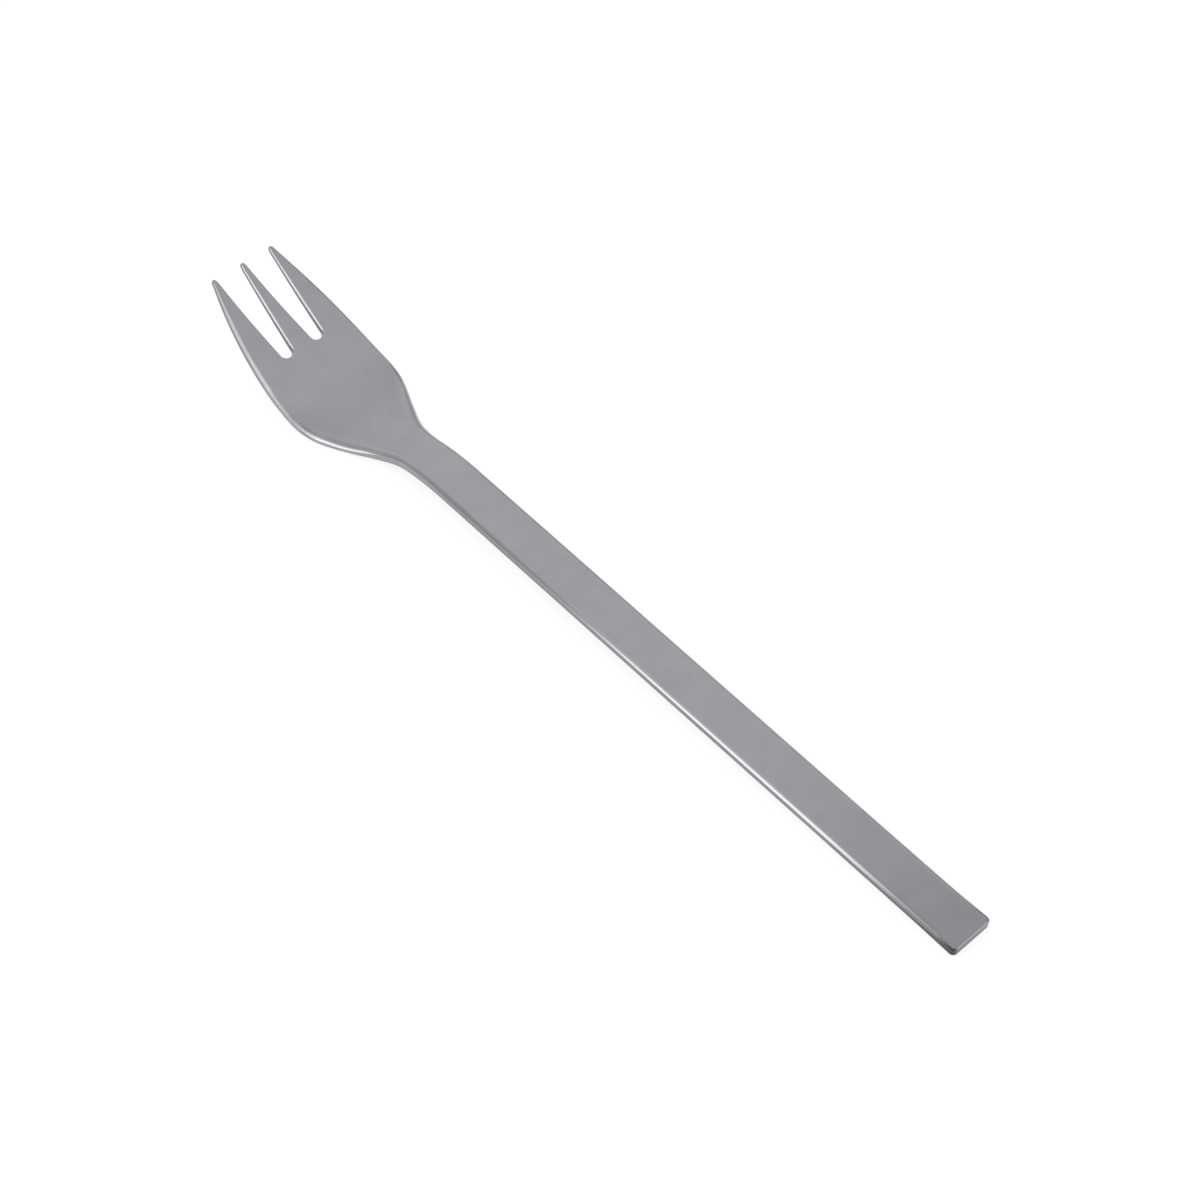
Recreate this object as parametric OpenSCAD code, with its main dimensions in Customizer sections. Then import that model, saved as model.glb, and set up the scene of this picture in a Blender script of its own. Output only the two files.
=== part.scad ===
// Oyster fork with three tines, one piece of stainless steel strip.
// It lies on its bowl and on the free end of its handle, with the tines towards +X and their tips up.
// The plate is drawn flat, as [distance along the upper face, distance from the middle line],
// and then bent along its side view.

/* [Handle] */
// Length of the straight handle, from the free end to the start of the neck bend
handle_len = 100; // [60:0.5:140]
// Width of the handle at the free end
end_w = 7; // [5:0.1:10]
// Width of the handle at the neck
handle_w = 7; // [5:0.1:10]
// Thickness at the free end
end_t = 1.6; // [1.2:0.1:3]
// Radius of the two corners of the free end, seen from above
corner_r = 0.7; // [0.3:0.1:2]

/* [Neck] */
// Thickness at the middle of the neck bend
neck_t = 1.8; // [1.5:0.1:4]
// Length of the neck, from the start of its bend to the start of the flare
neck_len = 8; // [3:0.5:20]
// Angle by which the neck dips below the line of the handle
neck_dip = 20; // [8:0.5:30]
// Radius of the neck bend, on the upper face
neck_bend_r = 35; // [20:1:60]

/* [Head] */
// Width of the head at its widest place
head_w = 18.7; // [14:0.1:26]
// Thickness of the head at its widest place
head_t = 1.6; // [1.2:0.1:3]
// Length of the palm, from the start of the flare to the roots of the slots
palm_len = 28.3; // [22:0.1:40]
// Steepest angle between the edge of the flare and the middle line
flare_angle = 25.5; // [15:0.5:40]
// Radius of the hollow curve from the handle into the flare
flare_r = 19; // [6:0.5:24]
// Radius of the shoulder, from the flare to the widest place
shoulder_r = 14; // [6:0.5:20]
// Radius of the bowl, on the upper face
bowl_r = 30.5; // [20:0.5:60]
// Angle at which the bowl runs out into the tines, above the line of the handle
bowl_rise = 21; // [8:0.5:35]

/* [Tines] */
// Length of the tines, from the roots of the slots to the tips
tine_len = 16; // [10:0.1:26]
// Radius of the upward curve of the tines
tine_bend_r = 120; // [60:5:400]
// Distance between the points of the two outer tines
tip_spread = 10.7; // [8:0.1:12]
// Width of each tine where its rounded point starts
tip_w = 0.95; // [0.6:0.05:1.6]
// Length of each rounded point
tip_len = 0.8; // [0.3:0.05:1.6]
// Thickness at the tips
tip_t = 0.8; // [0.5:0.1:1.6]
// Distance between the middles of the two slots, at their roots
slot_pitch = 5.7; // [4.4:0.1:7]
// Width of each slot at its rounded root
slot_w = 2; // [1.2:0.1:3]

/* [Edges] */
// Width of the buffed upper edge round the outside of the fork, seen from above
buff_w = 0.9; // [0.2:0.05:1.2]
// Depth of the buffed upper edge below the upper face
buff_drop = 0.7; // [0.2:0.05:0.8]
// Rounding of the lower edge round the outside of the fork
under_r = 0.5; // [0.1:0.05:0.6]
// Rounding of the edges inside the slots
slot_edge_r = 0.45; // [0.1:0.05:0.6]
// Rounding of the edges at the free end of the handle
end_edge_r = 0.3; // [0.1:0.05:0.6]
// Length over which the edges at the free end widen into those of the handle
end_run = 6; // [2:0.5:20]
// Rounding of the edges at the tips of the tines
tip_edge_r = 0.3; // [0.1:0.05:0.5]
// Length over which the edges of the tines narrow towards the tips
tip_run = 6; // [2:0.5:9]

/* [Hidden] */

// Number of steps in each stretch of the outline
corner_steps = 4;
palm_steps = 25;
root_steps = 4;
tine_steps = 8;
tip_steps = 8;
edge_steps = 4;

// Edges are limited by the wall that they are on: by its thickness, above and below,
// by the width of the middle tine, and by the round of a corner or tip
upper_share = 0.55;
lower_share = 0.4;
tine_share = 0.4;
round_share = 0.8;

// Distance from the palm's last station to the slot roots, in roundings of the slots
root_clear = 3;

// Places along the upper face
flare_s = handle_len + neck_len;
apex_s = flare_s + palm_len;
root_r = slot_w / 2;
root_s = apex_s + root_r;
tip_r = tip_w / 2;
tip_s = apex_s + tine_len - tip_len;
root_y = slot_pitch / 2;
tip_y = tip_spread / 2;

// The flare: a hollow arc, a straight edge and a shoulder, which turn by the same angle
flare_rise = (head_w - handle_w) / 2;
flare_turn = min(flare_angle, acos(1 - flare_rise / (flare_r + shoulder_r)));
hollow_rise = flare_r * (1 - cos(flare_turn));
hollow_end = flare_s + flare_r * sin(flare_turn);
edge_rise = flare_rise - (flare_r + shoulder_r) * (1 - cos(flare_turn));
shoulder_start = hollow_end + edge_rise / tan(flare_turn);
widest_s = shoulder_start + shoulder_r * sin(flare_turn);

// The side of the head is one arc from its widest place to the round of the outer tip
side_drop = head_w / 2 - tip_y - tip_r;
side_r = tip_r + (side_drop + pow(tip_s - widest_s, 2) / side_drop) / 2;
side_turn = asin((tip_s - widest_s) / (side_r - tip_r));

// Each side of a slot is a straight edge that touches the round of its root and the round of a tip
function slot_turn(dy) = acos((root_r + tip_r) / norm([tip_s - root_s, dy])) - atan2(tip_s - root_s, dy);
inner_turn = slot_turn(root_y);
outer_turn = slot_turn(tip_y - root_y);

// Side view of the upper face, as stretches of [length, turn]; the last one runs on
function arc_len(r, turn) = r * turn * PI / 180;
bowl_turn = neck_dip + bowl_rise;
side_view = [
    [handle_len, 0],
    [arc_len(neck_bend_r, neck_dip), -neck_dip],
    [arc_len(bowl_r, bowl_turn), bowl_turn],
    [arc_len(tine_bend_r, 1), 1]
];
neck_s = handle_len + arc_len(neck_bend_r, neck_dip) / 2;

// Moves [x, z, heading] on by a run that turns evenly
function advance(p, run, turn) =
    turn == 0
        ? [p[0] + run * cos(p[2]), p[1] + run * sin(p[2]), p[2]]
        : let (r = run / arc_len(1, turn), heading = p[2] + turn)
          [p[0] + r * (sin(heading) - sin(p[2])), p[1] - r * (cos(heading) - cos(p[2])), heading];

// Place and heading in the side view at distance s along it
function follow(s, i = 0, p = [0, 0, 0]) =
    let (run = side_view[i][0], turn = side_view[i][1])
    s <= run || i == len(side_view) - 1
        ? advance(p, s, turn * s / run)
        : follow(s - run, i + 1, advance(p, run, turn));

function mix(a, b, share) = a + (b - a) * max(0, min(1, share));
function ease(share) = share * share * (3 - 2 * share);

// Thickness at distance s: an even taper on the handle, a smooth one over the palm, an even one to the tips
function thickness(s) =
    s <= neck_s ? mix(end_t, neck_t, s / neck_s)
    : s <= widest_s ? mix(neck_t, head_t, ease((s - neck_s) / (widest_s - neck_s)))
    : mix(head_t, tip_t, (s - widest_s) / (tip_s - widest_s));

// How far an arc of radius r falls away from its tangent at distance d
function sag(r, d) = r - sqrt(r * r - d * d);

// Half-width of the fork at distance s, from the free end to the middle of the outer tip's round
function outer_edge(s) =
    s <= flare_s ? mix(end_w, handle_w, s / flare_s) / 2
    : s <= hollow_end ? handle_w / 2 + sag(flare_r, s - flare_s)
    : s <= shoulder_start ? handle_w / 2 + hollow_rise + (s - hollow_end) * tan(flare_turn)
    : s <= widest_s ? head_w / 2 - sag(shoulder_r, widest_s - s)
    : head_w / 2 - sag(side_r, s - widest_s);

// Distance from the middle of a slot to its side, at distance s
function slot_side(s, turn) =
    s < root_s - root_r * sin(turn)
        ? sqrt(max(0, root_r * root_r - (s - root_s) * (s - root_s)))
        : root_r / cos(turn) + (s - root_s) * tan(turn);

// Points on an ellipse about c, with half its length rs and half its width ry, from angle a to angle b
function arc(c, rs, ry, a, b, steps) = [
    for (i = [0 : steps])
        let (t = a + (b - a) * i / steps)
        c + [rs * cos(t), ry * sin(t)]
];

// Stations: along the handle and palm at full width, and along the tines from the slot root to the tip's round
palm_end = apex_s - root_clear * slot_edge_r;
tine_end = tip_s - tip_r;
palm_line = concat(
    [corner_r + end_run],
    [for (i = [0 : palm_steps]) handle_len + (palm_end - handle_len) * i / palm_steps]
);
tine_line = concat(
    [for (i = [0 : root_steps]) root_s - root_r * cos(90 * i / root_steps)],
    [for (i = [1 : tine_steps]) root_s + (tine_end - root_s) * i / tine_steps]
);

// Half of the outline, clockwise from the free end to the tip of the middle tine
corner_line = arc([corner_r, end_w / 2 - corner_r], corner_r, corner_r, 180, 90, corner_steps);
edge_line = [for (s = concat(palm_line, tine_line)) [s, outer_edge(s)]];
outer_tip = arc([tip_s, tip_y], tip_len, tip_r, 90 - side_turn, outer_turn - 90, tip_steps);
tine_count = len(tine_line);
slot_outer = [
    for (i = [tine_count - 1 : -1 : 0])
        let (s = tine_line[i])
        [s, root_y + slot_side(s, outer_turn)]
];
slot_inner = [
    for (i = [1 : tine_count - 1])
        let (s = tine_line[i])
        [s, root_y - slot_side(s, inner_turn)]
];
middle_tip = arc([tip_s, 0], tip_len, tip_r, 90 - inner_turn, 0, tip_steps / 2);
half_outline = concat(corner_line, edge_line, outer_tip, slot_outer, slot_inner, middle_tip);

// Whole outline: the other half is its mirror image, and shares the middle tip's last point
half_count = len(half_outline);
other_half = [
    for (i = [half_count - 2 : -1 : 0])
        let (q = half_outline[i])
        [q[0], -q[1]]
];
outline = concat(half_outline, other_half);
count = len(outline);
function other_side(i) = count - 1 - i;

// The points inside the slots start at the middle of an outer tip
slot_first = len(corner_line) + len(edge_line) + tip_steps / 2;
function in_slot(i) = min(i, other_side(i)) >= slot_first;

// Direction in which each point of the outline moves when its edge is set in by 1
function across(a, b) = [b[1] - a[1], a[0] - b[0]] / norm(b - a);
inward = [
    for (i = [0 : count - 1])
        let (before = across(outline[(i + count - 1) % count], outline[i]))
        let (after = across(outline[i], outline[(i + 1) % count]))
        (before + after) / (1 + before * after)
];

// Size of an edge at distance s, which has its full size between the free end and the tips
end_round = min(end_edge_r, round_share * corner_r);
tip_round = min(tip_edge_r, round_share * tip_r);
function edge_size(s, full) =
    s <= handle_len ? mix(end_round, full, (s - corner_r) / end_run)
    : mix(tip_round, full, (tip_s - s) / tip_run);

// Width and depth of the upper edge and rounding of the lower edge, at point i of the outline
slot_round = min(slot_edge_r, tine_share * (slot_pitch - slot_w));
function upper_width(i) = edge_size(outline[i][0], in_slot(i) ? slot_round : buff_w);
function upper_drop(i) =
    let (s = outline[i][0])
    min(edge_size(s, in_slot(i) ? slot_round : buff_drop), upper_share * thickness(s));
function lower_round(i) =
    let (s = outline[i][0])
    min(edge_size(s, in_slot(i) ? slot_round : under_r), lower_share * thickness(s));

// Rings of points from the upper face to the lower face, as [turn in the edge's section, lower edge or not]
turns = [for (i = [0 : edge_steps]) 90 * i / edge_steps];
rings = [for (lower = [false, true]) for (turn = turns) [turn, lower]];
function ring_inset(i, ring) =
    ring[1] ? lower_round(i) * (1 - cos(ring[0])) : upper_width(i) * (1 - sin(ring[0]));
function ring_depth(i, wall, ring) =
    ring[1] ? wall - lower_round(i) * (1 - sin(ring[0])) : upper_drop(i) * (1 - cos(ring[0]));

// A point of the flat plate, at a depth below the upper face, after bending
function bent(q, depth) =
    let (p = follow(q[0]))
    [p[0] + depth * sin(p[2]), q[1], p[1] - depth * cos(p[2])];

bent_points = [
    for (ring = rings)
        for (i = [0 : count - 1])
            let (q = outline[i] + inward[i] * ring_inset(i, ring))
            bent(q, ring_depth(i, thickness(q[0]), ring))
];

// Turned about Y until the heel of the handle and the bowl both touch the table, then centred on the origin
last_ring = (len(rings) - 1) * count;
heel = bent_points[last_ring];
rest_angle = min([
    for (i = [last_ring : len(bent_points) - 1])
        let (p = bent_points[i])
        if (p[0] > handle_len) atan2(p[2] - heel[2], p[0] - heel[0])
]);
rest_c = cos(rest_angle);
rest_s = sin(rest_angle);
turned_points = [
    for (p = bent_points)
        [p[0] * rest_c + p[2] * rest_s, p[1], p[2] * rest_c - p[0] * rest_s]
];
xs = [for (p = turned_points) p[0]];
zs = [for (p = turned_points) p[2]];
centre = [(min(xs) + max(xs)) / 2, 0, min(zs)];
points = [for (p = turned_points) p - centre];

// Faces, clockwise from outside: a quad is two triangles, or one where its second and third corners meet
function quad(a, b, c, d) = b == c ? [[a, b, d]] : [[a, b, c], [a, c, d]];

// The edge, in bands between one ring and the next
side_faces = [
    for (k = [0 : len(rings) - 2])
        for (i = [0 : count - 1])
            let (here = k * count + i)
            let (next = k * count + (i + 1) % count)
            each quad(next, here, here + count, next + count)
];

// The upper face, in strips between opposite points: handle and palm, slot roots, outer tines, middle tine
tine_start = len(corner_line) + len(palm_line);
apex = tine_start + 2 * tine_count + len(outer_tip) - 1;
function strip(i) = quad(i, i + 1, other_side(i + 1), other_side(i));
palm_faces = [for (i = [0 : tine_start - 2]) each strip(i)];
root_faces = [
    [tine_start - 1, tine_start, apex],
    [tine_start - 1, apex, other_side(tine_start - 1)],
    [apex, other_side(apex), other_side(tine_start - 1)],
    [other_side(apex), other_side(tine_start), other_side(tine_start - 1)]
];
outer_tine_faces = [
    for (i = [0 : tine_count + tip_steps / 2 - 1])
        let (a = tine_start + i, b = apex - i)
        each concat(
            quad(a, a + 1, b - 1, b),
            quad(other_side(b), other_side(b - 1), other_side(a + 1), other_side(a))
        )
];
middle_tine_faces = [for (i = [apex : half_count - 2]) each strip(i)];
upper_faces = concat(palm_faces, root_faces, outer_tine_faces, middle_tine_faces);
lower_faces = [for (f = upper_faces) [for (i = [2 : -1 : 0]) f[i] + last_ring]];

module fork() {
    color([0.6, 0.605, 0.62])
        polyhedron(points = points, faces = concat(upper_faces, side_faces, lower_faces));
}

fork();
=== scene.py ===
from math import acos, asin, atan2, cos, exp, hypot, pi, radians, sin, sqrt, tan

import bpy
from mathutils import Matrix, Quaternion, Vector


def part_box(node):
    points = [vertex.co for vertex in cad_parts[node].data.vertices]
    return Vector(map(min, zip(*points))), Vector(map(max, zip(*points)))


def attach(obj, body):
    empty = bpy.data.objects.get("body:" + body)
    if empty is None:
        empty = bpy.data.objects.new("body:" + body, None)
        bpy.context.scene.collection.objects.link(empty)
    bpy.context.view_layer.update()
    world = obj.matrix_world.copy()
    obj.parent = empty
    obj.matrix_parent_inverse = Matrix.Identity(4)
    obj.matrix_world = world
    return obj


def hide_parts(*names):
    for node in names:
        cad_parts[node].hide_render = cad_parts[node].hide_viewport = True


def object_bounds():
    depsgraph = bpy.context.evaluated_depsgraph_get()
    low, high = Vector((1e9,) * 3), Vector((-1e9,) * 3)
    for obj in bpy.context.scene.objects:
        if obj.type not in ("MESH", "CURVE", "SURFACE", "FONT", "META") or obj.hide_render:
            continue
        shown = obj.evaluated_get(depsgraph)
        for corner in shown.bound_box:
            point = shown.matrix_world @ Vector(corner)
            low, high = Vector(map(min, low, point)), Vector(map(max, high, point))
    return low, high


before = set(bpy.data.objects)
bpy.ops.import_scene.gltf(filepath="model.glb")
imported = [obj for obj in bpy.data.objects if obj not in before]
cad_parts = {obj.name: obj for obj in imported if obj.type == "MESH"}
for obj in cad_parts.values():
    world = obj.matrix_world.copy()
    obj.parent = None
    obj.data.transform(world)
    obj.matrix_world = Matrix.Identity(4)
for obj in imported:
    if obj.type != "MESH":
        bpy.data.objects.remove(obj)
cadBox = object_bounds()
scene = bpy.context.scene
mm = 0.001
print("frame loaded, nodes:", sorted(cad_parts))


# Camera: angles in degrees, lengths in millimetres
cameraSetup = {
    "azimuth": 227.405,
    "elevation": 51.953,
    "distance": 350.15,
    "aim": (-3.125, -1.75, 1.575),
    "lens": 75.0,
    "sensor": 36.0,
    "nearest": 10.0,           # limits of what it sees
    "farthest": 100000.0,
}


def makeCamera(setup):
    turn = radians(setup["azimuth"])
    lift = radians(setup["elevation"])
    back = Vector((sin(turn) * cos(lift), -cos(turn) * cos(lift), sin(lift)))
    data = bpy.data.cameras.new("camera")
    data.lens = setup["lens"]
    data.sensor_width = setup["sensor"]
    data.clip_start = setup["nearest"] * mm
    data.clip_end = setup["farthest"] * mm
    camera = bpy.data.objects.new("camera", data)
    camera.location = (Vector(setup["aim"]) + back * setup["distance"]) * mm
    camera.rotation_mode = "QUATERNION"
    camera.rotation_quaternion = (-back).to_track_quat("-Z", "Y")
    scene.collection.objects.link(camera)
    scene.camera = camera


makeCamera(cameraSetup)
print("camera placed")


# Fork: one strip of steel, cut flat and then bent along its side view; millimetres and degrees
forkSize = {
    "handleLength": 100.0,     # free end to the start of the neck bend
    "handleWidth": 7.0,
    "endThickness": 1.6,
    "cornerRadius": 0.7,       # corners of the free end
    "neckThickness": 1.8,
    "neckLength": 8.0,         # start of the bend to the start of the flare
    "neckDip": 20.0,
    "neckBendRadius": 35.0,
    "headWidth": 18.7,
    "headThickness": 1.6,
    "palmLength": 28.3,        # start of the flare to the slot roots
    "flareAngle": 25.5,
    "flareRadius": 19.0,
    "shoulderRadius": 14.0,
    "bowlRadius": 30.5,
    "bowlRise": 21.0,
    "tineLength": 16.0,
    "tineBendRadius": 120.0,
    "tipSpread": 10.7,         # between the points of the outer tines
    "tipWidth": 0.95,          # where the rounded point starts
    "tipLength": 0.8,          # of the rounded point
    "tipThickness": 0.8,
    "slotPitch": 5.7,
    "slotWidth": 2.0,
    "upperWidth": 0.9,         # the upper edge is buffed: a flat ellipse, wider than it is deep
    "upperDepth": 0.7,
    "lowerRound": 0.5,
    "slotRound": 0.45,         # edges inside the slots
    "endRound": 0.3,           # edges at the free end
    "endRun": 6.0,             # over which they widen into those of the handle
    "tipRound": 0.3,           # edges at the points of the tines
    "tipRun": 6.0,             # over which the edges of the tines narrow to them
    "crownPlace": 119.5,       # the upper edge is broader and deeper where the head flares
    "crownRun": 4.2,
    "crownWidth": 2.0,
    "crownDepth": 0.24,
    "upperShare": 0.55,        # most of the thickness that an upper edge takes
    "lowerShare": 0.4,
    "rootClear": 3.0,          # palm's last row to the slot roots, in roundings of the slots
}

# How finely the fork is divided
forkSteps = {
    "corner": 8,
    "handle": 40,
    "palm": 64,
    "root": 10,
    "tine": 32,
    "tip": 12,
    "edge": 8,
    "outerColumns": 6,
    "middleColumns": 6,
}

# Places along the upper face, from the free end
flareStart = forkSize["handleLength"] + forkSize["neckLength"]
slotApex = flareStart + forkSize["palmLength"]
slotRadius = forkSize["slotWidth"] / 2
slotCentre = slotApex + slotRadius
tipRadius = forkSize["tipWidth"] / 2
tipCentre = slotApex + forkSize["tineLength"] - forkSize["tipLength"]
slotY = forkSize["slotPitch"] / 2
tipY = forkSize["tipSpread"] / 2
handleHalf = forkSize["handleWidth"] / 2
headHalf = forkSize["headWidth"] / 2

# Flare: a hollow arc, a straight edge and a shoulder
flareTurn = radians(forkSize["flareAngle"])
hollowRise = forkSize["flareRadius"] * (1 - cos(flareTurn))
hollowEnd = flareStart + forkSize["flareRadius"] * sin(flareTurn)
shoulderRise = forkSize["shoulderRadius"] * (1 - cos(flareTurn))
shoulderStart = hollowEnd + (headHalf - handleHalf - hollowRise - shoulderRise) / tan(flareTurn)
widestPlace = shoulderStart + forkSize["shoulderRadius"] * sin(flareTurn)

# Side of the head: one arc from the widest place to the round of the outer tip
sideDrop = headHalf - tipY - tipRadius
sideRadius = tipRadius + (sideDrop + (tipCentre - widestPlace) ** 2 / sideDrop) / 2
sideTurn = asin((tipCentre - widestPlace) / (sideRadius - tipRadius))

# Side view: stretches of length and turn, the last one longer than the tines
neckDip = radians(forkSize["neckDip"])
bowlTurn = neckDip + radians(forkSize["bowlRise"])
neckRun = forkSize["neckBendRadius"] * neckDip
sideRuns = [
    (forkSize["handleLength"], 0.0),
    (neckRun, -neckDip),
    (forkSize["bowlRadius"] * bowlTurn, bowlTurn),
    (forkSize["tineBendRadius"], 1.0),
]
neckMiddle = forkSize["handleLength"] + neckRun / 2


def mix(first, second, share):
    return first + (second - first) * max(0.0, min(1.0, share))


def sideView(s):
    x = 0.0
    z = 0.0
    heading = 0.0
    for run, turn in sideRuns:
        step = min(s, run)
        after = heading + turn * step / run
        if turn == 0:
            x += step
        else:
            x += run / turn * (sin(after) - sin(heading))
            z -= run / turn * (cos(after) - cos(heading))
        heading = after
        s -= step
        if s <= 0:
            break
    return x, z, heading


def thicknessAt(s):
    if s <= neckMiddle:
        return mix(forkSize["endThickness"], forkSize["neckThickness"], s / neckMiddle)
    if s <= widestPlace:
        share = (s - neckMiddle) / (widestPlace - neckMiddle)
        return mix(forkSize["neckThickness"], forkSize["headThickness"], share * share * (3 - 2 * share))
    share = (s - widestPlace) / (tipCentre - widestPlace)
    return mix(forkSize["headThickness"], forkSize["tipThickness"], share)


def sag(radius, distance):
    return radius - sqrt(radius * radius - distance * distance)


def halfWidthAt(s):
    if s <= flareStart:
        return handleHalf
    if s <= hollowEnd:
        return handleHalf + sag(forkSize["flareRadius"], s - flareStart)
    if s <= shoulderStart:
        return handleHalf + hollowRise + (s - hollowEnd) * tan(flareTurn)
    if s <= widestPlace:
        return headHalf - sag(forkSize["shoulderRadius"], widestPlace - s)
    return headHalf - sag(sideRadius, s - widestPlace)


# Each side of a slot is a straight edge that touches the round of its root and the round of a tip
def slotTurn(rise):
    run = tipCentre - slotCentre
    return acos((slotRadius + tipRadius) / hypot(run, rise)) - atan2(run, rise)


def slotSideAt(s, turn):
    if s < slotCentre - slotRadius * sin(turn):
        return sqrt(max(0.0, slotRadius ** 2 - (s - slotCentre) ** 2))
    return slotRadius / cos(turn) + (s - slotCentre) * tan(turn)


# Size of an edge, which has its full size between the free end and the tips
def edgeSizeAt(full, s):
    if s <= forkSize["handleLength"]:
        return mix(forkSize["endRound"], full, (s - forkSize["cornerRadius"]) / forkSize["endRun"])
    return mix(forkSize["tipRound"], full, (tipCentre - s) / forkSize["tipRun"])


def spread(first, last, steps):
    return [first + (last - first) * i / steps for i in range(steps + 1)]


def arcPoints(s, y, length, width, start, end, steps):
    return [(s + length * cos(a), y + width * sin(a)) for a in spread(start, end, steps)]


# Flat outline, from the free end along one side to the middle tip, and back along the other side
def flatOutline():
    corner = forkSize["cornerRadius"]
    point = forkSize["tipLength"]
    palmEnd = slotApex - forkSize["rootClear"] * forkSize["slotRound"]
    innerTurn = slotTurn(slotY)
    outerTurn = slotTurn(tipY - slotY)
    palmLine = spread(corner, forkSize["handleLength"], forkSteps["handle"])[1:]
    palmLine += spread(forkSize["handleLength"], palmEnd, forkSteps["palm"])[1:]
    tineLine = [slotCentre - slotRadius * cos(a) for a in spread(0.0, pi / 2, forkSteps["root"])]
    tineLine += spread(slotCentre, tipCentre - tipRadius, forkSteps["tine"])[1:]
    half = arcPoints(corner, handleHalf - corner, corner, corner, pi, pi / 2, forkSteps["corner"])
    half += [(s, halfWidthAt(s)) for s in palmLine]
    marks = {"tineStart": len(half)}
    half += [(s, halfWidthAt(s)) for s in tineLine]
    marks["slotFirst"] = len(half) + forkSteps["tip"] // 2
    tipStart = pi / 2 - sideTurn
    half += arcPoints(tipCentre, tipY, point, tipRadius, tipStart, outerTurn - pi / 2, forkSteps["tip"])
    half += [(s, slotY + slotSideAt(s, outerTurn)) for s in reversed(tineLine)]
    marks["apex"] = len(half) - 1
    half += [(s, slotY - slotSideAt(s, innerTurn)) for s in tineLine[1:]]
    half += arcPoints(tipCentre, 0.0, point, tipRadius, pi / 2 - innerTurn, 0.0, forkSteps["tip"] // 2)
    marks["middleTip"] = len(half) - 1
    return half + [(s, -y) for s, y in reversed(half[:-1])], marks


# Direction in which each outline point moves when its edge is set in by 1
def inwardDirections(outline):
    directions = []
    for i, here in enumerate(outline):
        before = Vector(here) - Vector(outline[i - 1])
        after = Vector(outline[(i + 1) % len(outline)]) - Vector(here)
        first = Vector((before.y, -before.x)).normalized()
        second = Vector((after.y, -after.x)).normalized()
        directions.append((first + second) / (1 + first.dot(second)))
    return directions


# Rings from the upper face to the lower face: a turn in the edge's section, and whether it is the lower edge
def edgeRings():
    angles = spread(0.0, pi / 2, forkSteps["edge"])
    return [(a, False) for a in angles] + [(a, True) for a in angles]


# Where a ring lies at distance s: its inset, its depth from the nearer face,
# and how far the surface leans from the upper face
def ringPlace(s, inSlot, turn, lower):
    wall = thicknessAt(s)
    if lower:
        rounding = edgeSizeAt(forkSize["slotRound" if inSlot else "lowerRound"], s)
        rounding = min(rounding, forkSize["lowerShare"] * wall)
        return rounding * (1 - cos(turn)), rounding * (1 - sin(turn)), pi / 2 + turn
    inset = edgeSizeAt(forkSize["slotRound" if inSlot else "upperWidth"], s)
    depth = edgeSizeAt(forkSize["slotRound" if inSlot else "upperDepth"], s)
    if not inSlot:
        crown = exp(-((s - forkSize["crownPlace"]) / forkSize["crownRun"]) ** 2)
        inset += forkSize["crownWidth"] * crown
        depth += forkSize["crownDepth"] * crown
    depth = min(depth, forkSize["upperShare"] * wall)
    return inset * (1 - sin(turn)), depth * (1 - cos(turn)), atan2(depth * sin(turn), inset * cos(turn))


# Painted shade: how far the steel's colour is darkened, as shares at places along the fork; it stands in for
# darker reflections on walls, edges, slots and the bowl, and for the table's shadow seen in the walls near
# the free end
paintedShade = {
    "wall": [
        (0, 1.0), (25, 0.44), (95, 0.44), (107, 0.25),
        (116, 0.09), (124, 0.09), (136, 0.66),
    ],
    "edge": [
        (0.5, 0.95), (3, 0.0), (123, 0.0), (125, 0.36), (126.5, 0.05), (127.5, 0.0),
        (130, 0.0), (142, 0.19), (150, 0.25),
    ],
    "lowEdge": [
        (0, 0.37), (10, 0.33), (14, 0.26), (22, 0.0),
        (65, 0.0), (85, 0.22), (98, 0.22), (106, 0.0),
    ],
    "bowl": [(108, 0.0), (116, 0.035), (127, 0.035), (130, 0.0), (134, 0.0), (138, 0.035)],
    "slotWall": 0.9,
    "bowlDip": {"place": 124, "run": 5, "middle": 0.035, "side": 0.09},
    "flareDip": {"place": 119.5, "run": 3.5, "middle": 0.0, "side": 0.09},
}

# Polished edges with a painted highlight: how much brighter steel is laid on the edges, at the stretches and
# leans where a lamp's highlight falls, in the same way
burnishAndHighlight = [
    (8, 0.0), (17, 0.75), (40, 0.8), (61, 0.88), (71, 0.0), (112, 0.0), (117, 0.78),
    (125, 0.78), (128, 0.85), (131, 0.72), (133, 0.6), (136, 0.35), (146, 0.35),
]

# Leans from the upper face, in degrees, over which the polish, the painted shade and the painted highlight
# of the polished edges go from one share to the next
finishAndPaintedLightLeans = {
    "face": (0, 20),
    "edge": (5, 25),
    "lowEdge": (20, 45),
    "wall": (70, 90),
    "slotWall": (60, 88),
    "under": (110, 150),
    "polish": (0, 20),
    "burnishAndHighlight": (28, 46),
    "burnishAndHighlightEnd": (56, 74),
    "underStart": 100,
}


def shareAt(stops, s):
    for (before, first), (after, second) in zip(stops, stops[1:]):
        if s < after:
            return mix(first, second, (s - before) / (after - before))
    return stops[-1][1]


def dipAt(dip, s, side):
    return (dip["middle"] + dip["side"] * side) * exp(-((s - dip["place"]) / dip["run"]) ** 2)


def ramp(lean, finishAndPaintedLight):
    first, last = finishAndPaintedLightLeans[finishAndPaintedLight]
    return mix(0.0, 1.0, (lean - radians(first)) / radians(last - first))


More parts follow.
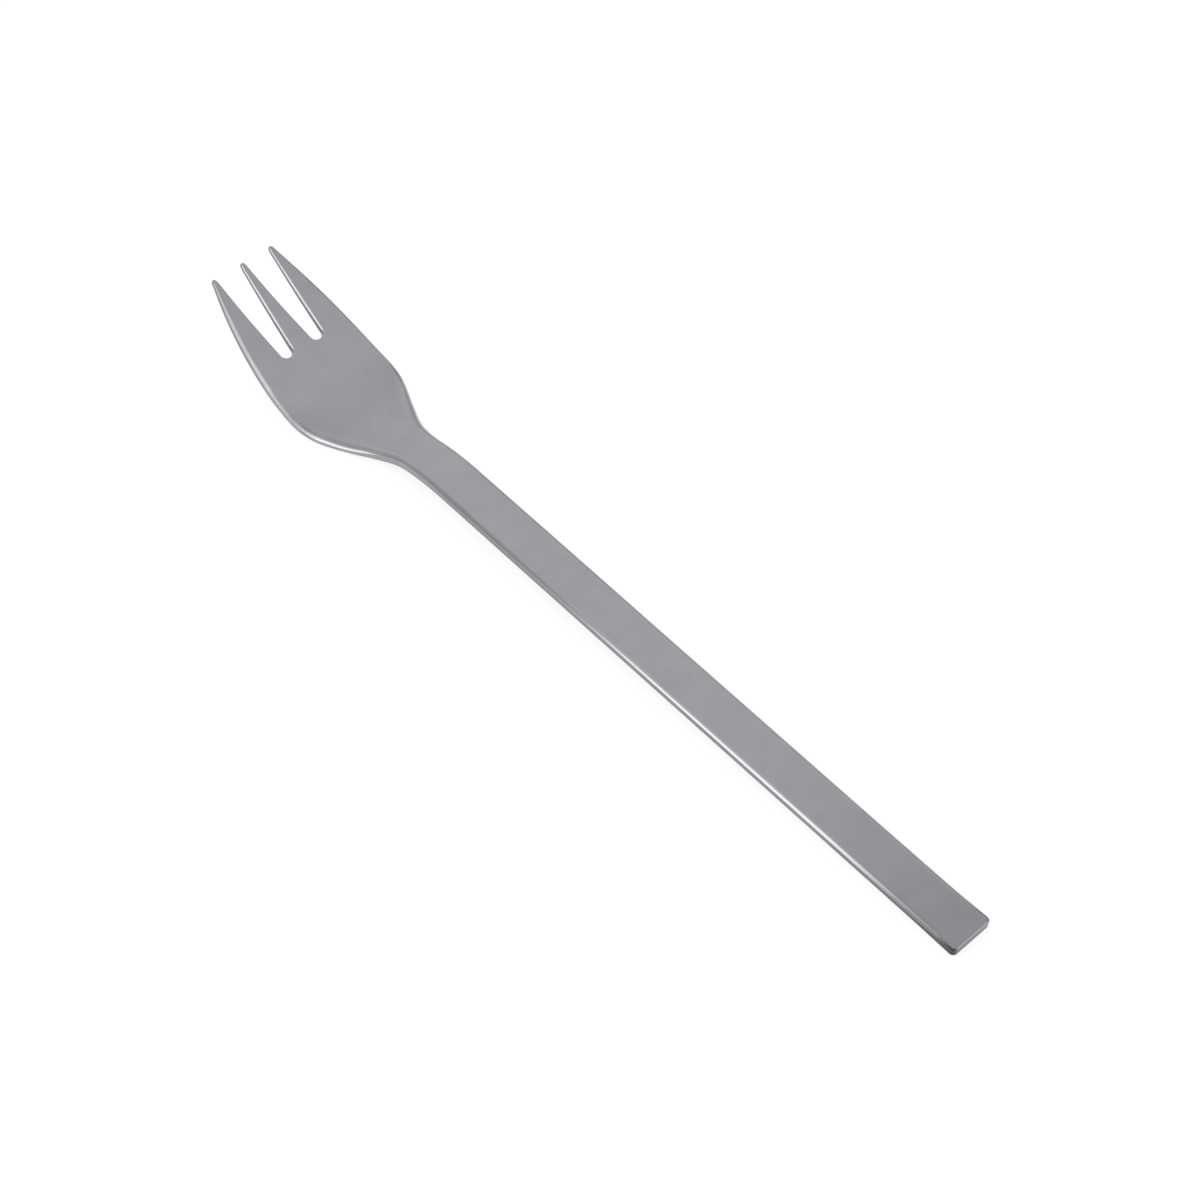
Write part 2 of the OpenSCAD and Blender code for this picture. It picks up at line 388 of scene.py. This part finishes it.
# Share of painted shade at a point of the surface
def shadeAt(s, y, lean, outward, inSlot):
    if lean > radians(finishAndPaintedLightLeans["underStart"]):
        return shareAt(paintedShade["wall"], s) * (1 - ramp(lean, "under"))
    side = (y / halfWidthAt(min(s, tipCentre))) ** 2
    bowl = shareAt(paintedShade["bowl"], s)
    bowl += dipAt(paintedShade["bowlDip"], s, side)
    bowl += dipAt(paintedShade["flareDip"], s, side)
    bowl *= 1 - ramp(lean, "face")
    if inSlot:
        return max(bowl, paintedShade["slotWall"] * ramp(lean, "slotWall"))
    wall = shareAt(paintedShade["wall"], s) * ramp(lean, "wall")
    edge = shareAt(paintedShade["edge"], s) * ramp(lean, "edge")
    edge += shareAt(paintedShade["lowEdge"], s) * ramp(lean, "lowEdge")
    return max(bowl, wall, min(1.0, edge * abs(outward.y)))


def burnishAndHighlightAt(s, lean):
    return shareAt(burnishAndHighlight, s) * ramp(lean, "burnishAndHighlight") * (1 - ramp(lean, "burnishAndHighlightEnd"))


class ForkMesh:
    def __init__(self):
        self.points = []
        self.normals = []
        self.faces = []
        self.polish = []
        self.burnishAndHighlight = []
        self.shade = []

    # The surface leans by an angle from the upper face towards the outward direction of the flat outline
    def addPoint(self, s, y, depth, lean, outward, inSlot=False):
        x, z, heading = sideView(s)
        face = Vector((-sin(heading), 0, cos(heading)))
        along = Vector((cos(heading), 0, sin(heading)))
        edge = along * outward.x + Vector((0, 1, 0)) * outward.y
        self.points.append(Vector((x, y, z)) - face * depth)
        self.normals.append(face * cos(lean) + edge * sin(lean))
        self.polish.append(ramp(min(lean, pi - lean), "polish"))
        self.burnishAndHighlight.append(burnishAndHighlightAt(s, lean))
        self.shade.append(shadeAt(s, y, lean, outward, inSlot))
        return len(self.points) - 1

    # Joins two rows of points; a row may be a single point
    def joinRows(self, row, after, flip):
        for i in range(max(len(row), len(after)) - 1):
            face = [row[min(i, len(row) - 1)], row[min(i + 1, len(row) - 1)]]
            face += [after[min(i + 1, len(after) - 1)], after[min(i, len(after) - 1)]]
            face = list(dict.fromkeys(face))
            self.faces.append(face[::-1] if flip else face)


def buildForkMesh():
    outline, marks = flatOutline()
    inward = inwardDirections(outline)
    count = len(outline)
    mesh = ForkMesh()
    rings = []
    rims = []
    for turn, lower in edgeRings():
        ring = []
        rim = []
        for i, (s, y) in enumerate(outline):
            inSlot = min(i, count - 1 - i) >= marks["slotFirst"]
            inset, depth, lean = ringPlace(s, inSlot, turn, lower)
            place = Vector((s, y)) + inward[i] * inset
            if lower:
                depth = thicknessAt(place.x) - depth
            ring.append(mesh.addPoint(place.x, place.y, depth, lean, -inward[i].normalized(), inSlot))
            rim.append(place)
        rings.append(ring)
        rims.append(rim)
    for ring, after in zip(rings, rings[1:]):
        mesh.joinRows(ring + ring[:1], after + after[:1], False)

    outerColumns = forkSteps["outerColumns"]
    middleColumns = forkSteps["middleColumns"]
    tineStart = marks["tineStart"]
    apex = marks["apex"]

    def fillFace(ring, rim, share, flip):
        def mirror(i):
            return count - 1 - i

        def rowBetween(first, last, shares):
            if first == last:
                return [ring[first]]
            row = [ring[first]]
            for part in shares[1:-1]:
                place = rim[first].lerp(rim[last], part)
                sunk = thicknessAt(place.x) * share
                row.append(mesh.addPoint(place.x, place.y, sunk, pi * share, Vector((0, 0))))
            return row + [ring[last]]

        outerShares = spread(0.0, 1.0, outerColumns)
        middleShares = spread(0.0, 1.0, middleColumns)
        rootShare = (rim[tineStart].y - rim[apex].y) / (2 * rim[tineStart].y)
        palmShares = spread(0.0, rootShare, outerColumns)
        palmShares += spread(rootShare, 1 - rootShare, middleColumns)[1:]
        palmShares += spread(1 - rootShare, 1.0, outerColumns)[1:]

        palmRows = [rowBetween(i, mirror(i), palmShares) for i in range(tineStart)]
        nearCount = (apex - tineStart) // 2 + 1
        nearRows = [rowBetween(tineStart + i, apex - i, outerShares) for i in range(nearCount)]
        middleRows = [rowBetween(i, mirror(i), middleShares) for i in range(apex, marks["middleTip"] + 1)]
        farRows = []
        for i in range(nearCount):
            farRows.append(rowBetween(mirror(apex - i), mirror(tineStart + i), outerShares))
        palmRows.append(nearRows[0] + middleRows[0][1:] + farRows[0][1:])
        for rows in (palmRows, nearRows, middleRows, farRows):
            for row, after in zip(rows, rows[1:]):
                mesh.joinRows(row, after, flip)

    fillFace(rings[0], rims[0], 0, False)
    fillFace(rings[-1], rims[-1], 1, True)
    return mesh, rings[-1]


# Turns the fork until the heel of its handle and its bowl touch the table, puts it where the frame has it,
# and holds it to the frame's box, because finer steps stand a few microns proud
def settle(mesh, lowerRing):
    heel = mesh.points[lowerRing[0]]
    headPoints = [mesh.points[i] for i in lowerRing if mesh.points[i].x > forkSize["handleLength"]]
    restAngle = min(atan2(p.z - heel.z, p.x - heel.x) for p in headPoints)
    turn = Matrix.Rotation(restAngle, 3, "Y")
    points = [turn @ p * mm for p in mesh.points]
    normals = [turn @ n for n in mesh.normals]
    low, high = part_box("fork")
    xs = [p.x for p in points]
    lift = low.z - min(p.z for p in points)
    slide = (low.x + high.x - min(xs) - max(xs)) / 2
    placed = []
    for p in points:
        p = p + Vector((slide, 0, lift))
        placed.append([min(max(p[i], low[i]), high[i]) for i in range(3)])
    return placed, normals


def makeFork():
    mesh, lowerRing = buildForkMesh()
    data = bpy.data.meshes.new("fork_body")
    points, normals = settle(mesh, lowerRing)
    data.from_pydata(points, [], mesh.faces)
    data.validate()
    for name, values in (("polish", mesh.polish), ("burnishAndHighlight", mesh.burnishAndHighlight), ("shade", mesh.shade)):
        layer = data.attributes.new(name, "FLOAT", "POINT")
        layer.data.foreach_set("value", values)
    for face in data.polygons:
        face.use_smooth = True
    data.normals_split_custom_set_from_vertices(normals)
    body = bpy.data.objects.new("fork_body", data)
    scene.collection.objects.link(body)
    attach(body, "root")
    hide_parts("fork")
    return body


forkBody = makeFork()
print("fork made,", len(forkBody.data.polygons), "faces")


# Satin steel, with a painted shade colour and a brighter colour for polished edges that carries a painted
# highlight: colours are linear, scales are per metre
steelFinishAndPaintedLight = {
    "paleSteel": (0.382, 0.386, 0.408, 1.0),
    "darkSteel": (0.326, 0.330, 0.349, 1.0),
    # brighter steel of polished edges, laid where a lamp's highlight falls: partly a painted highlight
    "brightSteel": (0.600, 0.606, 0.640, 1.0),
    # painted shade: the dark colour that the shade attribute mixes in
    "paintedShadeSteel": (0.065, 0.066, 0.069, 1.0),
    "cloudScale": 300.0,
    "cloudDetail": 4.0,
    "grainScale": 3500.0,
    "grainDetail": 3.0,
    "grainDepth": 0.00002,
    "grainStrength": 0.08,
    "faceRoughness": 0.30,
    "edgeRoughness": 0.18,
}


def addNode(tree, kind, **settings):
    node = tree.nodes.new(kind)
    for name, value in settings.items():
        setattr(node, name, value)
    return node


def makeSteel(finishAndPaintedLight):
    material = bpy.data.materials.new("satin steel")
    material.use_nodes = True
    tree = material.node_tree
    link = tree.links.new
    shader = tree.nodes["Principled BSDF"]
    shader.inputs["Metallic"].default_value = 1.0
    place = addNode(tree, "ShaderNodeTexCoord")

    clouds = addNode(tree, "ShaderNodeTexNoise")
    clouds.inputs["Scale"].default_value = finishAndPaintedLight["cloudScale"]
    clouds.inputs["Detail"].default_value = finishAndPaintedLight["cloudDetail"]
    link(place.outputs["Object"], clouds.inputs["Vector"])
    tint = addNode(tree, "ShaderNodeMix", data_type="RGBA")
    tint.inputs["A"].default_value = finishAndPaintedLight["darkSteel"]
    tint.inputs["B"].default_value = finishAndPaintedLight["paleSteel"]
    link(clouds.outputs["Fac"], tint.inputs["Factor"])
    # Polished edges and painted highlight: the colour is brightened where a lamp's highlight falls
    burnishAndHighlightMask = addNode(tree, "ShaderNodeAttribute", attribute_name="burnishAndHighlight")
    bright = addNode(tree, "ShaderNodeMix", data_type="RGBA")
    bright.inputs["B"].default_value = finishAndPaintedLight["brightSteel"]
    link(burnishAndHighlightMask.outputs["Fac"], bright.inputs["Factor"])
    link(tint.outputs["Result"], bright.inputs["A"])
    # Painted shade: the shade attribute darkens the colour towards the dark steel
    wall = addNode(tree, "ShaderNodeAttribute", attribute_name="shade")
    paintedShadeMix = addNode(tree, "ShaderNodeMix", data_type="RGBA")
    paintedShadeMix.inputs["B"].default_value = finishAndPaintedLight["paintedShadeSteel"]
    link(wall.outputs["Fac"], paintedShadeMix.inputs["Factor"])
    link(bright.outputs["Result"], paintedShadeMix.inputs["A"])
    link(paintedShadeMix.outputs["Result"], shader.inputs["Base Color"])

    edge = addNode(tree, "ShaderNodeAttribute", attribute_name="polish")
    gloss = addNode(tree, "ShaderNodeMapRange")
    gloss.inputs["To Min"].default_value = finishAndPaintedLight["faceRoughness"]
    gloss.inputs["To Max"].default_value = finishAndPaintedLight["edgeRoughness"]
    link(edge.outputs["Fac"], gloss.inputs["Value"])
    link(gloss.outputs["Result"], shader.inputs["Roughness"])

    grain = addNode(tree, "ShaderNodeTexNoise")
    grain.inputs["Scale"].default_value = finishAndPaintedLight["grainScale"]
    grain.inputs["Detail"].default_value = finishAndPaintedLight["grainDetail"]
    link(place.outputs["Object"], grain.inputs["Vector"])
    bump = addNode(tree, "ShaderNodeBump")
    bump.inputs["Distance"].default_value = finishAndPaintedLight["grainDepth"]
    link(grain.outputs["Fac"], bump.inputs["Height"])
    onFace = addNode(tree, "ShaderNodeMapRange")
    onFace.inputs["To Min"].default_value = finishAndPaintedLight["grainStrength"]
    onFace.inputs["To Max"].default_value = 0.0
    link(edge.outputs["Fac"], onFace.inputs["Value"])
    link(onFace.outputs["Result"], bump.inputs["Strength"])
    link(bump.outputs["Normal"], shader.inputs["Normal"])
    return material


forkBody.data.materials.append(makeSteel(steelFinishAndPaintedLight))
print("steel finish made")


# Table: a white sheet that keeps the fork's shadow; lengths in metres
tableLook = {
    "reach": 10.0,
    "paint": 0.30,
    "glow": 0.80,
    "gap": 0.00002,            # below the fork
}


def makeTable(look):
    reach = look["reach"]
    height = cadBox[0].z - look["gap"]
    data = bpy.data.meshes.new("table")
    corners = [(x * reach, y * reach, height) for x, y in ((-1, -1), (1, -1), (1, 1), (-1, 1))]
    data.from_pydata(corners, [], [(0, 1, 2, 3)])
    table = bpy.data.objects.new("table", data)
    scene.collection.objects.link(table)

    material = bpy.data.materials.new("white table")
    material.use_nodes = True
    tree = material.node_tree
    link = tree.links.new
    tree.nodes.remove(tree.nodes["Principled BSDF"])
    paint = addNode(tree, "ShaderNodeBsdfDiffuse")
    paint.inputs["Color"].default_value = (look["paint"], look["paint"], look["paint"], 1.0)
    glow = addNode(tree, "ShaderNodeEmission")
    path = addNode(tree, "ShaderNodeLightPath")
    seen = addNode(tree, "ShaderNodeMath", operation="ADD")
    link(path.outputs["Is Camera Ray"], seen.inputs[0])
    link(path.outputs["Is Glossy Ray"], seen.inputs[1])
    either = addNode(tree, "ShaderNodeMath", operation="ADD", use_clamp=True)
    link(seen.outputs[0], either.inputs[0])
    link(path.outputs["Is Transmission Ray"], either.inputs[1])
    strength = addNode(tree, "ShaderNodeMath", operation="MULTIPLY")
    strength.inputs[1].default_value = look["glow"]
    link(either.outputs[0], strength.inputs[0])
    link(strength.outputs[0], glow.inputs["Strength"])
    both = addNode(tree, "ShaderNodeAddShader")
    link(paint.outputs[0], both.inputs[0])
    link(glow.outputs[0], both.inputs[1])
    link(both.outputs[0], tree.nodes["Material Output"].inputs["Surface"])
    data.materials.append(material)


makeTable(tableLook)
print("table made")


# Lights: lengths in millimetres, strength is what a mirror would show of the lamp, where 1 is white
softboxes = {
    "overhead panel": {
        "centre": (494, -150, 180), "aim": (494, -150, 0),
        "size": (1012, 360), "strength": 0.315,
    },
    "left panel": {
        "centre": (43, 130, 180), "aim": (43, 130, 0),
        "size": (98, 200), "strength": 0.28,
    },
    "far panel": {
        "centre": (1185, 675, 1000), "aim": (1185, 675, 0),
        "size": (2030, 1050), "strength": 0.11,
    },
    "side box": {
        "centre": (78, 300, 83), "aim": (78, 0, 83),
        "size": (105, 164), "strength": 1.42,
    },
    "upper box": {
        "centre": (53, 300, 250), "aim": (53, 0, 250),
        "size": (38, 170), "strength": 0.8,
    },
    "far box": {
        "centre": (205, 550, 560), "aim": (205, 0, 560),
        "size": (110, 460), "strength": 0.75,
    },
    "high panel": {
        "centre": (5, 815, 1000), "aim": (5, 815, 0),
        "size": (265, 1430), "turn": -17, "strength": 1.4,
    },
    "end box": {
        "centre": (-600, -310, 340), "aim": (-75, 0, 0),
        "size": (250, 250), "strength": 1.2,
    },
}
roomLight = {"zenith": 0.62, "horizon": 0.72}


def makeSoftbox(name, setup):
    data = bpy.data.lights.new(name, "AREA")
    data.shape = "RECTANGLE"
    data.size = setup["size"][0] * mm
    data.size_y = setup["size"][1] * mm
    data.energy = setup["strength"] * data.size * data.size_y * pi
    lamp = bpy.data.objects.new(name, data)
    centre = Vector(setup["centre"]) * mm
    lamp.location = centre
    lamp.rotation_mode = "QUATERNION"
    facing = (Vector(setup["aim"]) * mm - centre).to_track_quat("-Z", "Y")
    lamp.rotation_quaternion = facing @ Quaternion((0, 0, 1), radians(setup.get("turn", 0)))
    lamp.visible_camera = False
    scene.collection.objects.link(lamp)


def makeRoom(light):
    world = bpy.data.worlds.new("room")
    scene.world = world
    world.use_nodes = True
    tree = world.node_tree
    link = tree.links.new
    sky = tree.nodes["Background"]
    place = addNode(tree, "ShaderNodeTexCoord")
    split = addNode(tree, "ShaderNodeSeparateXYZ")
    link(place.outputs["Generated"], split.inputs[0])
    fade = addNode(tree, "ShaderNodeMapRange")
    fade.inputs["To Min"].default_value = light["horizon"]
    fade.inputs["To Max"].default_value = light["zenith"]
    link(split.outputs["Z"], fade.inputs["Value"])
    link(fade.outputs["Result"], sky.inputs["Strength"])
    sky.inputs["Color"].default_value = (1.0, 1.0, 1.0, 1.0)


for boxName, boxSetup in softboxes.items():
    makeSoftbox(boxName, boxSetup)
makeRoom(roomLight)
scene.view_settings.view_transform = "Standard"
print("lights made")
